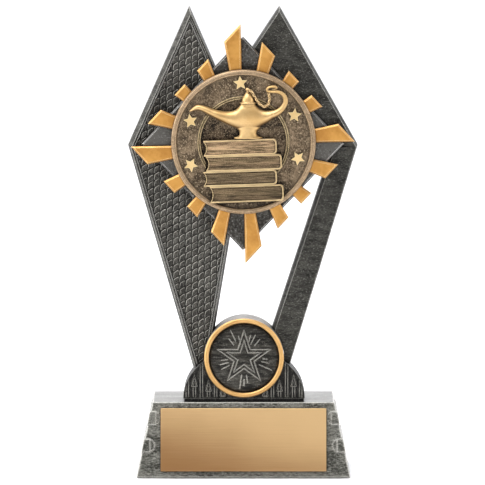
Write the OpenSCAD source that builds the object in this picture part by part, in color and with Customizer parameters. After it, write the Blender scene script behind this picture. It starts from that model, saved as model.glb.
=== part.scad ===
// Award for learning: a tapered plinth carries a ribbed foot, a round badge cup and two
// tall pointed blades. The blades hold a diamond plate, a gold sunburst and a round
// medallion with an oil lamp standing on four books.
//
// Front view lies in X and Z. Depth runs along Y, and the front is towards -Y.
// The origin is on the table, under the middle of the plinth.

/* [Plinth] */
// Height of the whole award, from the table to the blade tips
award_h = 176; // [160:1:230]
// Width of the plinth at its foot
plinth_w = 80; // [74:0.5:110]
// Depth of the plinth at its foot
plinth_d = 42; // [41:0.5:70]
// Height of the plinth's top face above the table
plinth_h = 28; // [26:0.5:36]
// How far every side leans in between foot and top
plinth_lean = 6; // [3:0.5:6.5]
// Height of one raised band on the plinth's ends
band_h = 4.9; // [3:0.1:6]
// How far a band stands out of the plinth
band_proud = 0.4; // [0.3:0.05:1]
// How far a band wraps round on to the front and back
band_wrap = 1.9; // [1:0.1:2.4]
// How far the flat tongue at a band's end stands out
tongue_proud = 0.2; // [0.1:0.05:0.25]
// How far the round end of that tongue reaches
tongue_wrap = 3.6; // [2.6:0.1:3.8]
// Distance from the plinth's top down to the first band
band_drop = 3.3; // [2:0.1:4]
// Height of the first band over the second
band_pitch = 10.1; // [8:0.1:11]
// Thickness of the felt under the plinth
felt_t = 1.2; // [0.8:0.1:2]
// How far the felt stands below the plinth
felt_proud = 0.4; // [0.2:0.1:0.6]
// Bare edge left round the felt
felt_margin = 2.5; // [1.5:0.5:5]

/* [Engraving plate] */
// Width of the engraving plate
name_w = 62; // [40:1:64]
// Height of the engraving plate
name_h = 23.6; // [15:0.1:24]
// Thickness of the engraving plate
name_t = 0.8; // [0.5:0.1:1.5]
// Thickness of its adhesive tape
tape_t = 0.25; // [0.25:0.05:0.5]
// Bare edge of the plate beyond the tape
tape_margin = 2; // [1:0.5:4]

/* [Upright] */
// Distance of the upright's flat back in front of the plinth's centre
back_set = 0; // [0:0.5:1]
// Thickness of the blades
blade_t = 9.5; // [8:0.5:10]
// Width of the sloping edge round a blade's front
blade_edge = 0.8; // [0.4:0.1:1.2]
// Width of that edge along the left blade's upper side
high_edge = 1.5; // [0.4:0.1:1.8]
// Width of that edge on the inner side of the right blade's leg
leg_edge = 1.2; // [0.4:0.1:1.4]
// Width of that edge on the leg's crisp outer side
crisp_edge = 0.3; // [0.2:0.1:1]
// Depth of the sloping edges
blade_fall = 2; // [1:0.25:3]
// Sideways place of the left blade's outer corner
left_corner_x = -43.2; // [-56:0.1:-40]
// Sideways place of the right blade's outer corner
right_corner_x = 42.7; // [40:0.1:56]
// Height of the outer corners above the table
corner_z = 124.2; // [118:0.2:132]
// Place of the left blade's tip
left_tip_x = -20.3; // [-24:0.1:-16]
// Place of the right blade's tip
right_tip_x = 13.4; // [10:0.1:18]
// Sideways run of the right tip's inner edge for each millimetre down
right_tip_slope = 0.663; // [0.6:0.01:0.72]
// How far the left blade's heel lies outside the badge cup
left_heel_out = 0.6; // [-0.5:0.1:1.5]
// How far the right blade's outer heel lies inside the badge cup's side
right_heel_in = 1.6; // [0.5:0.1:3]
// Width of the right blade's leg at the bottom
leg_low_w = 11.6; // [9:0.1:12.5]
// Width of the right blade's leg behind the diamond
leg_high_w = 9.3; // [8:0.1:11]
// Gap along the seam between the blades
seam = 0.1; // [0.05:0.05:0.3]
// Width of the left blade's plain border
border_w = 2; // [1.8:0.1:3]
// Extra width of that border along the blade's upper side
border_extra = 0.6; // [0:0.1:1]
// Width of the bead along the border's inner edge
bead_w = 0.4; // [0.3:0.05:0.6]
// Depth of the field inside the border
field_depth = 1.2; // [0.8:0.1:2]
// Thickness of the scaled panel laid in that field
panel_t = 0.7; // [0.4:0.1:1.2]

/* [Foot] */
// Width of the domed foot
foot_w = 45.6; // [43:0.2:52]
// Rise of the dome above its base strip
foot_rise = 18.7; // [17:0.1:22]
// Thickness of the foot's wall in front of the blades
foot_wall = 4.2; // [3.5:0.1:5]
// Height of the base strip under the dome
strip_h = 1.3; // [1:0.1:1.4]
// Distance between neighbouring rib motifs
rib_pitch = 2.66; // [2.4:0.02:3]
// Width of one rib
rib_w = 0.35; // [0.25:0.05:0.5]
// How far the ribs stand out of the foot
rib_proud = 0.4; // [0.2:0.05:0.6]
// Length of the tenon under the foot
tenon_w = 40; // [38:0.5:42]
// Thickness of the tenon, front to back
tenon_d = 9; // [8.5:0.5:10]
// Depth of the tenon in the plinth
tenon_h = 5; // [4:0.5:6]

/* [Badge] */
// Outer diameter of the badge cup and its gold rim
badge_d = 29.8; // [28.8:0.2:30.4]
// Width of the rim
badge_rim_w = 1.65; // [1.3:0.05:2]
// Gap between the rim and the badge insert
insert_gap = 0.35; // [0.25:0.05:0.6]
// Thickness of the badge insert
insert_t = 1.7; // [1:0.1:1.8]
// Thickness of the glue pad behind the insert
pad_t = 0.6; // [0.3:0.1:0.8]
// Bare edge of the insert beyond its glue pad
pad_margin = 2; // [1:0.5:4]
// How far the rim stands in front of the cup
rim_proud = 1.2; // [0.8:0.1:1.5]
// How far the cup's front lies behind the foot's front
cup_set = 0.2; // [0:0.1:0.6]
// How far the insert lies behind the rim's front
insert_set = 0.9; // [0.7:0.1:1.1]
// Gap between the cup's lowest line and the base strip
cup_lift = 0.4; // [0.3:0.1:1]
// Bare edge between the raised star's points and the insert's edge
star_margin = 2.3; // [1.5:0.1:5]
// Width of the raised lines that draw the star
star_line = 0.45; // [0.3:0.05:0.7]
// Height of those lines
star_proud = 0.4; // [0.2:0.05:0.5]

/* [Diamond and sunburst] */
// Height of the medallion's centre above the table
medal_z = 126; // [122:0.2:130]
// Thickness of the diamond plate
diamond_t = 2.2; // [1.8:0.1:3]
// How far the diamond's side corners reach past the medallion
diamond_side = 10.7; // [9:0.1:13]
// How far its top and bottom corners reach past the medallion
diamond_tall = 13.1; // [12:0.1:17]
// How far diamond and sunburst hang below the medallion's centre
plate_drop = 1; // [0:0.1:1.2]
// Sideways place of diamond and sunburst
plate_shift = -0.2; // [-0.5:0.1:0.5]
// Thickness of the sunburst
burst_t = 1.8; // [1.4:0.1:2.4]
// How far the sunburst's side corners reach past the medallion
burst_side = 15.6; // [14:0.1:18]
// How far its top and bottom corners reach past the medallion
burst_tall = 18.8; // [17:0.1:22]
// Number of rays
rays = 16; // [12:1:20]
// Width of one ray, in degrees
ray_width = 10; // [7:0.5:13]
// Turn of the first ray from straight up, in degrees
ray_turn = -6.2; // [-8:0.1:-5]
// Width and depth of the bevel round rays and diamond
bevel = 0.5; // [0.2:0.05:0.6]

/* [Medallion] */
// Outer diameter of the medallion's rim
medal_d = 54; // [52:0.5:56]
// Width of the rim
medal_rim = 2; // [1.5:0.1:2.5]
// Thickness of the rim
medal_rim_t = 2.4; // [2:0.1:3]
// Thickness of the medallion disc
disc_t = 1.4; // [1.2:0.1:1.8]
// Depth of the round field inside the inner ring
field_drop = 0.7; // [0.4:0.1:0.9]
// Outer diameter of the inner ring
ring_d = 34.4; // [33:0.2:36]
// Width of the inner ring
ring_w = 1.25; // [1:0.05:1.6]
// How far the inner ring stands above the disc
ring_proud = 0.5; // [0.3:0.1:0.7]
// Diameter of the spigot behind the disc
spigot_d = 20; // [16:0.5:24]

/* [Books] */
// Depth of the books in front of the disc
book_t = 2.4; // [1.5:0.1:2.8]
// Thickness of a book's cover
board_t = 0.65; // [0.5:0.05:0.8]
// How far the pages lie behind the covers
page_set = 0.35; // [0.2:0.05:0.6]
// Tilt of the stack, in degrees
book_tilt = 2; // [0:0.1:3]
// Height of the stack's foot above the medallion's lowest line
stack_rise = 4.7; // [4.5:0.1:6]

/* [Lamp] */
// Depth of the lamp's bowl in front of its back
lamp_t = 2.9; // [2:0.1:3.5]
// Sideways place of the lamp's axis
lamp_x = 1.7; // [1:0.1:2.5]
// Radius of the chain
chain_r = 0.5; // [0.35:0.05:0.55]

/* [Stars] */
// Radius of a relief star's points
spark_r = 2.4; // [1.8:0.1:2.6]
// Thickness of a relief star
spark_t = 0.9; // [0.5:0.1:1.2]

/* [Fixings] */
// Diameter of the assembly screws
screw_d = 4; // [3:0.5:4]
// Length of the assembly screws under the head
screw_l = 16; // [14:1:17]
// Distance between the two screws
screw_pitch = 28; // [26:0.5:30]
// Wall of the threaded inserts
insert_wall = 0.8; // [0.5:0.1:1]
// Length of the threaded inserts
insert_l = 8; // [6:0.5:8]
// Diameter of the dowels behind the sunburst
dowel_d = 3; // [2:0.1:3.5]
// Diameter of the dowels between cup and blades
hub_dowel_d = 2.5; // [2:0.1:3]
// Clearance all round between pieces that are glued or slide together
fit = 0.1; // [0.05:0.05:0.15]

/* [Hidden] */
$fn = 96;
over = 1;                                // how far cutters run past a face

// depths of the layers, from the flat back towards the front
back_y = -back_set;
blade_y = back_y - blade_t;
foot_y = blade_y - foot_wall;
diamond_y = blade_y - diamond_t;
burst_y = diamond_y - burst_t;
disc_y = burst_y - disc_t;
floor_y = disc_y + field_drop;
ring_y = disc_y - ring_proud;
lamp_back_y = ring_y - fit / 2;

// plinth
plinth_z = felt_proud;
face_angle = atan(plinth_lean / (plinth_h - plinth_z));
tenon_y = (foot_y + back_y) / 2;

// badge
cup_r = badge_d / 2;
bore_r = cup_r - badge_rim_w;
insert_r = bore_r - insert_gap;
star_r = insert_r - star_margin;
cup_y = foot_y + cup_set;
cup_z = plinth_h + strip_h + cup_lift + cup_r;
cup_x = 0.2;
floor_of_cup_y = cup_y - rim_proud + insert_set + insert_t + pad_t;
left_heel_x = cup_x - cup_r - left_heel_out;
right_heel_x = cup_x + cup_r - right_heel_in;
spigot_wall = 0.85;
rim_seat = 1.2;

// medallion
medal_r = medal_d / 2;
disc_r = medal_r - medal_rim - fit;
stack_drop = medal_r - stack_rise;       // the stack's foot below the medallion's centre
ring_r = ring_d / 2;
hub_r = medal_r - medal_rim + 0.5;
burst_x = medal_r + burst_side;
burst_z = medal_r + burst_tall;
plate_mid = [plate_shift, medal_z - plate_drop];

// left end, right end, height and page setback of each book, from the bottom up
books = [[-12.4, 15.1, 6.2, 0.5], [-14.6, 12.8, 5.6, 0.7],
    [-13.5, 14.8, 5.75, 1.2], [-14.2, 13.1, 5.8, 0.8]];
spine_round = 1.3;                       // radius of a spine's corners
hollow = 1.1;                            // how far the fore-edge curves in
leaves = 5;                              // grooves between the pages
leaf_gap = 0.16;                         // width and depth of such a groove
seat_x = [-12.3, 12];                    // the disc stays level behind the books
seat_rise = 0.3;                         // and this far above its centre
stack_h = stack_top(len(books));

// compass angle, distance from the centre and own turn of each relief star
sparks = [[-3, 22.1, -5], [62.1, 21.5, 5], [106.5, 21.2, 186], [246.5, 21.4, 172],
    [291.9, 21.3, -10]];

// the lamp's lists count from its own axis and foot
// bowl: distance along x, underside, topside
lamp_body = [[-21.9, 10.1, 10.3], [-21.1, 10.1, 11.2], [-19.3, 10.6, 12.6],
    [-17.5, 10.3, 12.6], [-15.4, 9.2, 12.1], [-12.4, 7.6, 11], [-8.6, 5.7, 10.3],
    [-4.7, 4.2, 10.2], [0, 3.5, 10.4], [3.5, 4.4, 10.5], [7.7, 6.5, 10.6],
    [9.7, 8, 10.8]];
// foot, neck and lid: height and half width, from below
lamp_foot = [[0, 5.2], [0.6, 5.2], [0.9, 3.9], [1.7, 2.95], [3, 2.9], [4.8, 3.6]];
lamp_neck = [[9.3, 4.6], [10.6, 4.4], [11.6, 3.4], [13.1, 2.8]];
lamp_dome = [[13.1, 2.85], [13.6, 2.85], [13.65, 2.3], [14.5, 2.3], [15.6, 1.9],
    [16.6, 1.2], [17.4, 0.7], [17.7, 0.4]];
// handle and chain: distance along x, height, radius
handle_path = [[9.7, 9.4, 1.35], [11.8, 10.5, 1.15], [13.4, 12.5, 0.95],
    [14.05, 14.7, 0.85], [13.25, 16.8, 0.75], [11.2, 18, 0.6], [8.9, 18.1, 0.5],
    [7.4, 18.5, 0.5], [7.1, 19.5, 0.5], [8, 20.3, 0.5], [9.5, 20.4, 0.45],
    [10.6, 20.1, 0.25]];
chain_path = [[0.1, 18.35], [1.45, 17.9], [2.85, 15.5], [4.1, 13.3], [6.2, 12],
    [7.5, 13.2], [7.85, 15.2], [7.8, 17.4]];
lamp_shallow = 0.4;                      // how far foot, neck and lid lie behind the bowl
peg_r = 1.2;                             // the peg that holds the bowl to the disc
peg_l = 1.2;
peg_z = 7.3;
finial_r = 0.55;
// the lamp stands on the sloping top of the books
lamp_z = medal_z - stack_drop + stack_h * cos(book_tilt)
    + (lamp_x + lamp_foot[0][1]) * sin(book_tilt) + fit / 10;

// outlines of the blades, anticlockwise from the tip as seen from the front
throat = [1.2, medal_z + 0.7];
left_tip = [left_tip_x, award_h];
right_tip = [right_tip_x, award_h];
left_outline = [left_tip, [left_corner_x, corner_z], [left_heel_x, plinth_h], throat];
seam_dir = (throat - left_tip) / norm(throat - left_tip);
seam_shift = seam * [-seam_dir[1], seam_dir[0]];
leg_top = [right_corner_x - leg_high_w - 0.6, corner_z - 1.7];
right_outline = [right_tip,
    meet(right_tip, [right_tip_slope, 1], left_tip + seam_shift, seam_dir),
    throat + seam_shift, throat + [2.8, -20], leg_top,
    [right_heel_x - leg_low_w, plinth_h], [right_heel_x, plinth_h],
    [right_corner_x, corner_z]];
// width of the sloping edge along each side of the outlines, and the convex faces they fill
left_edges = [high_edge, blade_edge, blade_edge, crisp_edge];
right_edges = [blade_edge, crisp_edge, blade_edge, blade_edge, leg_edge, blade_edge,
    crisp_edge, blade_edge];
left_faces = [[0, 1, 2, 3]];
right_faces = [[0, 1, 2, 4, 7], [2, 3, 4], [4, 5, 6, 7]];
reach_x = max(-left_corner_x, right_corner_x) + over;
borders = [border_w + border_extra, border_w, border_w, border_w];
blade_seat_z = plinth_h + 6;             // the blades end here, inside the foot
hub_dowel_angles = [155, 35];
hub_dowel_r = [cup_r - 5, cup_r + 5];

// ---- geometry shared by several pieces ----

function cross2(a, b) = a[0] * b[1] - a[1] * b[0];

// where the line through p along u meets the line through q along v
function meet(p, u, q, v) = p + u * cross2(q - p, v) / cross2(u, v);

// an anticlockwise outline with its sides moved inwards, all by d or each by its own d[i]
function inset(pts, d) = let (n = len(pts)) [for (i = [0:n - 1])
    let (h = (i + n - 1) % n, a = pts[h], b = pts[i], c = pts[(i + 1) % n],
        u = (b - a) / norm(b - a), v = (c - b) / norm(c - b),
        du = is_num(d) ? d : d[h], dv = is_num(d) ? d : d[i])
    meet(b + du * [-u[1], u[0]], u, b + dv * [-v[1], v[0]], v)];

// a smooth run of points through a list, with `steps` points to each span
function smooth(p, steps) = let (n = len(p)) [for (i = [0:n - 2], s = [0:steps - 1])
    let (t = s / steps, a = p[max(i - 1, 0)], b = p[i], c = p[i + 1],
        d = p[min(i + 2, n - 1)])
    0.5 * (2 * b + (c - a) * t + (2 * a - 5 * b + 4 * c - d) * t * t
        + (3 * b - a - 3 * c + d) * t * t * t), p[n - 1]];

function less(list, d) = [for (v = list) v - d];

function stack_top(k) = k == 0 ? 0 : books[k - 1][2] + stack_top(k - 1);

// a front-view outline made solid between two depths
module between(rear, front) {
    translate([0, rear, 0]) rotate([90, 0, 0]) linear_extrude(rear - front) children();
}

// a round bar along Y between two depths
module disc(x, z, r, rear, front) {
    translate([x, rear, z]) rotate([90, 0, 0]) cylinder(r = r, h = rear - front);
}

// a ring along Y: its section is a list of [radius, depth] points
module turned(x, z, section) {
    translate([x, 0, z]) rotate([90, 0, 0]) rotate_extrude()
        polygon([for (p = section) [p[0], -p[1]]]);
}

// a plate whose front edges slope in by `edge` over the depth `fall`; a plate that isn't
// convex names the convex faces, as lists of its corners, that fill its outline
module sloped_plate(pts, rear, front, edge, fall, faces = []) {
    n = len(pts);
    ends = len(faces) > 0 ? faces : [[for (i = [0:n - 1]) i]];
    top = inset(pts, edge);
    points = concat([for (p = pts) [p[0], rear, p[1]]],
        [for (p = pts) [p[0], front + fall, p[1]]],
        [for (p = top) [p[0], front, p[1]]]);
    sides = [for (r = [0:1], i = [0:n - 1]) let (j = (i + 1) % n)
        [r * n + j, r * n + i, (r + 1) * n + i, (r + 1) * n + j]];
    polyhedron(points, concat(ends,
        [for (e = ends) [for (i = [len(e) - 1:-1:0]) 2 * n + e[i]]], sides));
}

// a closed skin over a run of equal rings
module skin(rings) {
    n = len(rings[0]);
    last = len(rings) - 1;
    points = [for (ring = rings) each ring];
    sides = [for (k = [0:last - 1], i = [0:n - 1]) let (j = (i + 1) % n)
        each [[k * n + i, k * n + j, (k + 1) * n + j],
            [k * n + i, (k + 1) * n + j, (k + 1) * n + i]]];
    polyhedron(points, concat([[for (i = [n - 1:-1:0]) i]],
        [[for (i = [0:n - 1]) last * n + i]], sides));
}

// half-round sections of the lamp, standing on the plane y = 0 with the round side in front
function half_round_x(x, low, high, depth) = [for (a = [0:20:180])
    [x, -depth * sin(a), (low + high) / 2 - (high - low) / 2 * cos(a)]];
function half_round_z(z, half, depth) = [for (a = [0:20:180])
    [half * cos(a), -depth * sin(a), z]];

// a round bar along points [x, z, radius], its axis `lift` in front of the plane y = 0
module bent_bar(path, lift) {
    n = len(path);
    sides = 8;
    skin([for (i = [0:n - 1])
        let (p = path[i], ahead = path[min(i + 1, n - 1)], behind = path[max(i - 1, 0)],
            t = i == 0 ? [1, 0] : [ahead[0] - behind[0], ahead[1] - behind[1]],
            u = t / norm(t))
        [for (k = [0:sides - 1]) let (a = -360 * k / sides)
            [p[0] - u[1] * p[2] * cos(a), -lift - p[2] * sin(a),
                p[1] + u[0] * p[2] * cos(a)]]]);
}

function star(r, inner, turn) = [for (i = [0:9]) let (a = -36 * i - turn)
    (i % 2 == 0 ? r : r * inner) * [-sin(a), cos(a)]];
star_faces = concat([[for (i = [1:2:9]) i]],
    [for (i = [0:2:8]) [(i + 9) % 10, i, i + 1]]);

// ---- plinth ----

module tapered_block(grow) {
    intersection() {
        between(plinth_d, -plinth_d)
            polygon([[-plinth_w / 2 - grow, plinth_z], [plinth_w / 2 + grow, plinth_z],
                [plinth_w / 2 - plinth_lean + grow, plinth_h],
                [plinth_lean - plinth_w / 2 - grow, plinth_h]]);
        rotate([90, 0, 90]) linear_extrude(2 * plinth_w, center = true)
            polygon([[-plinth_d / 2 - grow, plinth_z], [plinth_d / 2 + grow, plinth_z],
                [plinth_d / 2 - plinth_lean + grow, plinth_h],
                [plinth_lean - plinth_d / 2 - grow, plinth_h]]);
    }
}

// the two raised bands on one end of the plinth, with round ends on the front
module end_bands() {
    for (k = [0:1]) {
        low = plinth_h - band_drop - band_h - k * band_pitch;
        corner = plinth_w / 2 - plinth_lean * (low + band_h - plinth_z) / (plinth_h - plinth_z);
        intersection() {
            tapered_block(band_proud);
            between(plinth_d, -plinth_d) translate([corner - band_wrap, low])
                square([2 * plinth_lean, band_h]);
        }
        intersection() {
            tapered_block(tongue_proud);
            between(plinth_d, -plinth_d) translate([corner - tongue_wrap + band_h / 2, low]) {
                square([plinth_lean, band_h]);
                translate([0, band_h / 2]) circle(d = band_h, $fn = 48);
            }
        }
    }
}

module felt_outline(grow) {
    w = plinth_w - 2 * felt_margin + 2 * grow;
    d = plinth_d - 2 * felt_margin + 2 * grow;
    translate([-w / 2, -d / 2, 0]) cube([w, d, felt_t]);
}

// the screws' seat: their tips end just inside the threaded inserts
tip_gap = 0.3;
washer_t = 0.8;
screw_seat_z = plinth_h - tenon_h + insert_l - tip_gap - screw_l + washer_t;
module at_screws() {
    for (side = [-1, 1]) translate([side * screw_pitch / 2, tenon_y, 0]) children();
}

module plinth() {
    color("#6d6f6b") difference() {
        union() {
            tapered_block(0);
            end_bands();
            mirror([1, 0, 0]) end_bands();
        }
        felt_outline(fit);
        translate([-tenon_w / 2 - fit, tenon_y - tenon_d / 2 - fit, plinth_h - tenon_h - 2 * fit])
            cube([tenon_w + 2 * fit, tenon_d + 2 * fit, tenon_h + over]);
        at_screws() cylinder(d = screw_d + 0.5, h = plinth_h);
        at_screws() cylinder(d = 2.5 * screw_d, h = screw_seat_z);
    }
}

module plinth_felt() {
    color("#23272a") felt_outline(0);
}

// lays a piece on the plinth's leaning front face: x across, y up the slope, z outwards
module on_front_face() {
    translate([0, -plinth_d / 2, plinth_z]) rotate([90 - face_angle, 0, 0]) children();
}
name_mid = (plinth_h - plinth_z) / cos(face_angle) / 2;

module engraving_plate() {
    color("#c79a5e") on_front_face() translate([-name_w / 2, name_mid - name_h / 2, tape_t])
        cube([name_w, name_h, name_t]);
}

module plate_tape() {
    color("#e8e6e0") on_front_face()
        translate([tape_margin - name_w / 2, name_mid - name_h / 2 + tape_margin, 0])
            cube([name_w - 2 * tape_margin, name_h - 2 * tape_margin, tape_t]);
}

// ---- foot ----

function dome(shrink) = let (a = foot_w / 2 - shrink, b = foot_rise - shrink)
    [for (t = [0:5:180]) [cup_x + a * cos(t), plinth_h + strip_h + b * sin(t)]];

// one motif of the ribs: even ones are a pair of bars, odd ones a pair under a spearhead
module rib_motif(k, side) {
    x = cup_x + side * k * rib_pitch;
    spear_z = strip_h + 9 - 1.8 * abs(k - 7) / 2;
    tall = k % 2 == 0 ? foot_rise + strip_h : spear_z - 2.6;
    for (s = [-1, 1])
        translate([x + s * rib_pitch * 0.17 - rib_w / 2, plinth_h + strip_h + 0.6])
            square([rib_w, tall - strip_h - 0.6]);
    if (k % 2 == 1) translate([x, plinth_h + spear_z]) difference() {
        polygon([[0, 0], [-rib_pitch * 0.42, -3.2], [rib_pitch * 0.42, -3.2]]);
        polygon([[0, -1.3], [-rib_pitch * 0.22, -2.6], [rib_pitch * 0.22, -2.6]]);
    }
}

module ribs() {
    intersection() {
        for (side = [-1, 1], k = [3:8]) between(foot_y + 0.5, foot_y - rib_proud) rib_motif(k, side);
        between(foot_y + 0.5, foot_y - rib_proud) polygon(dome(0.4));
    }
}

// both blades with the clearance that their pockets need
module blade_pockets() {
    difference() {
        union() {
            sloped_plate(inset(left_outline, -fit), back_y + over, blade_y - fit, left_edges,
                blade_fall, left_faces);
            sloped_plate(inset(right_outline, -fit), back_y + over, blade_y - fit, right_edges,
                blade_fall, right_faces);
        }
        translate([-reach_x, back_y - award_h, 0]) cube([2 * reach_x, 2 * award_h, blade_seat_z]);
    }
}

module ribbed_foot() {
    color("#3c3d3a") difference() {
        union() {
            between(back_y, foot_y) polygon(dome(0));
            between(back_y, foot_y + 0.4) translate([cup_x - foot_w / 2 + 0.4, plinth_h])
                square([foot_w - 0.8, strip_h + over]);
            ribs();
            translate([-tenon_w / 2, tenon_y - tenon_d / 2, plinth_h - tenon_h])
                cube([tenon_w, tenon_d, tenon_h + over]);
        }
        blade_pockets();
        disc(cup_x, cup_z, cup_r + fit, back_y + over, foot_y - over);
        at_screws() translate([0, 0, plinth_h - tenon_h - over])
            cylinder(d = screw_d + 2 * insert_wall + fit, h = insert_l + over + 2 * fit);
    }
}

// ---- badge ----

module at_hub_dowel(a) {
    translate([cup_x, (blade_y + back_y) / 2, cup_z]) rotate([0, 90 - a, 0]) children();
}

module badge_cup() {
    color("#77796f") difference() {
        disc(cup_x, cup_z, cup_r, back_y, cup_y);
        disc(cup_x, cup_z, bore_r, floor_of_cup_y, cup_y - over);
        disc(cup_x, cup_z, bore_r + spigot_wall + fit / 2, cup_y + rim_seat + fit / 2,
            cup_y - over);
        for (a = hub_dowel_angles) at_hub_dowel(a)
            translate([0, 0, hub_dowel_r[0]]) cylinder(d = hub_dowel_d + fit, h = 10);
    }
}

module badge_rim() {
    r = bore_r;
    front = cup_y - rim_proud;
    color("#dfae57") turned(cup_x, cup_z, [[r, cup_y + rim_seat], [r, front + 0.35],
        [r + 0.35, front], [cup_r - 0.35, front], [cup_r, front + 0.35], [cup_r, cup_y],
        [r + spigot_wall, cup_y], [r + spigot_wall, cup_y + rim_seat]]);
}

module badge_pad() {
    color("#e8e6e0") disc(cup_x, cup_z, insert_r - pad_margin, floor_of_cup_y, floor_of_cup_y - pad_t);
}

insert_y = floor_of_cup_y - pad_t - insert_t;
module badge_insert() {
    color("#34332f") translate([cup_x, 0, cup_z]) {
        disc(0, 0, insert_r, insert_y + insert_t, insert_y);
        for (r = [star_r, star_r * 0.64]) between(insert_y + insert_t / 2, insert_y - star_proud)
            difference() {
                polygon(star(r, 0.382, 0));
                polygon(star(r - star_line / sin(18), 0.382, 0));
            }
    }
}

// ---- blades ----

module hub_and_foot_room() {
    disc(cup_x, cup_z, cup_r + fit, back_y + over, blade_y - over);
    translate([-reach_x, back_y - award_h, 0]) cube([2 * reach_x, 2 * award_h, blade_seat_z]);
    for (a = hub_dowel_angles) at_hub_dowel(a) cylinder(d = hub_dowel_d + fit, h = hub_dowel_r[1]);
}

dowel_spots = [for (x = [-14, 14], z = [-8, 8]) [x, z]];
module at_plate_dowels() {
    for (p = dowel_spots) translate([p[0], 0, medal_z + p[1]]) children();
}
dowel_y = [blade_y + 5, burst_y + 0.5];

module left_blade() {
    color("#4b4a47") difference() {
        sloped_plate(left_outline, back_y, blade_y, left_edges, blade_fall, left_faces);
        hub_and_foot_room();
        between(blade_y + field_depth, blade_y - over) polygon(inset(left_outline, borders));
        between(blade_y + bead_w, blade_y - over) difference() {
            polygon(inset(left_outline, less(borders, 2 * bead_w)));
            polygon(inset(left_outline, less(borders, bead_w)));
        }
        at_plate_dowels() disc(0, 0, (dowel_d + fit) / 2, dowel_y[0], blade_y - over);
    }
}

module scale_panel() {
    rear = blade_y + field_depth;
    color("#3a3a38") difference() {
        between(rear, rear - panel_t) polygon(inset(left_outline, less(borders, -fit)));
        disc(cup_x, cup_z, cup_r + 2 * fit, back_y, blade_y - over);
        translate([-reach_x, back_y - award_h, 0])
            cube([2 * reach_x, 2 * award_h, blade_seat_z + fit]);
        at_plate_dowels() disc(0, 0, (dowel_d + fit) / 2, rear + over, blade_y - over);
    }
}

module right_blade() {
    color("#42423e") difference() {
        sloped_plate(right_outline, back_y, blade_y, right_edges, blade_fall, right_faces);
        hub_and_foot_room();
        at_plate_dowels() disc(0, 0, (dowel_d + fit) / 2, dowel_y[0], blade_y - over);
    }
}

// ---- diamond and sunburst ----

module diamond_plate() {
    x = medal_r + diamond_side;
    z = medal_r + diamond_tall;
    color("#5a5b59") difference() {
        sloped_plate([for (c = [[0, z], [-x, 0], [0, -z], [x, 0]]) plate_mid + c],
            blade_y, diamond_y, bevel, bevel);
        at_plate_dowels() disc(0, 0, (dowel_d + fit) / 2, blade_y + over, diamond_y - over);
    }
}

// a point of the sunburst at a compass angle, t = 1 on its square outer edge
function burst_point(a, t) = plate_mid + t * [burst_x * sin(a), burst_z * cos(a)];
function edge_reach(a) = 1 / (abs(sin(a)) + abs(cos(a)));

module sunburst() {
    root = (hub_r - 2) / burst_z;
    color("#dfa045") difference() {
        union() {
            disc(0, medal_z, hub_r, diamond_y, burst_y);
            for (k = [0:rays - 1]) {
                mid = ray_turn + 360 * k / rays;
                a = mid - ray_width / 2;
                b = mid + ray_width / 2;
                sloped_plate([burst_point(a, root), burst_point(b, root),
                    burst_point(b, edge_reach(b)), burst_point(a, edge_reach(a))],
                    diamond_y, burst_y, bevel, bevel);
            }
        }
        disc(0, medal_z, spigot_d / 2 + fit, diamond_y + over, burst_y - over);
        at_plate_dowels() disc(0, 0, (dowel_d + fit) / 2, diamond_y + over, dowel_y[1]);
    }
}

// ---- medallion ----

module medallion_disc() {
    color("#6b5a40") difference() {
        union() {
            disc(0, medal_z, disc_r, burst_y, disc_y);
            disc(0, medal_z, spigot_d / 2, burst_y + burst_t - 2 * fit, burst_y - fit);
        }
        difference() {
            disc(0, medal_z, ring_r + fit, floor_y, disc_y - over);
            translate([seat_x[0], disc_y - over, medal_z - stack_drop])
                cube([seat_x[1] - seat_x[0], 2 * over + field_drop, stack_drop + seat_rise]);
        }
        disc(lamp_x, lamp_z + peg_z, peg_r + fit, floor_y + peg_l + fit, disc_y - over);
    }
}

module medallion_rim() {
    r = medal_r - medal_rim;
    front = burst_y - medal_rim_t;
    color("#a8845a") difference() {
        turned(0, medal_z, [[r, burst_y], [r, front + 0.5], [r + 0.3, front + 0.1],
            [r + 0.6, front], [medal_r - 0.9, front], [medal_r - 0.3, front + 0.3],
            [medal_r, front + 0.9], [medal_r, burst_y]]);
        in_stack() between(disc_y + fit, disc_y - book_t - over) book_outline(0, fit);
    }
}

module inner_ring() {
    line = ring_w * 0.36;
    groove = ring_y + ring_proud;
    color("#9c8a63") difference() {
        turned(0, medal_z, [[ring_r - ring_w, floor_y], [ring_r - ring_w, ring_y + 0.15],
            [ring_r - ring_w + 0.15, ring_y], [ring_r - ring_w + line, ring_y],
            [ring_r - ring_w / 2, groove], [ring_r - line, ring_y], [ring_r - 0.15, ring_y],
            [ring_r, ring_y + 0.15], [ring_r, floor_y]]);
        in_stack() for (k = [0:len(books) - 1])
            between(0, disc_y - book_t) book_outline(k, fit);
        translate([seat_x[0] - fit, disc_y - over, medal_z - stack_drop])
            cube([seat_x[1] - seat_x[0] + 2 * fit, 3 * over, stack_drop + seat_rise + fit]);
    }
}

// ---- books ----

module in_stack() {
    translate([0, 0, medal_z - stack_drop]) rotate([0, -book_tilt, 0]) children();
}

// the end view of a bound block: square on the left, with round corners on the right
function bound(left, right, low, high, r) = concat([[left, high], [left, low]],
    [for (a = [-90:15:0]) [right - r + r * cos(a), low + r + r * sin(a)]],
    [for (a = [0:15:90]) [right - r + r * cos(a), high - r + r * sin(a)]]);

module book_outline(k, grow) {
    b = books[k];
    polygon(bound(b[0] - grow, b[1] + grow, stack_top(k) - grow, stack_top(k + 1) + grow,
        spine_round));
}

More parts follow.
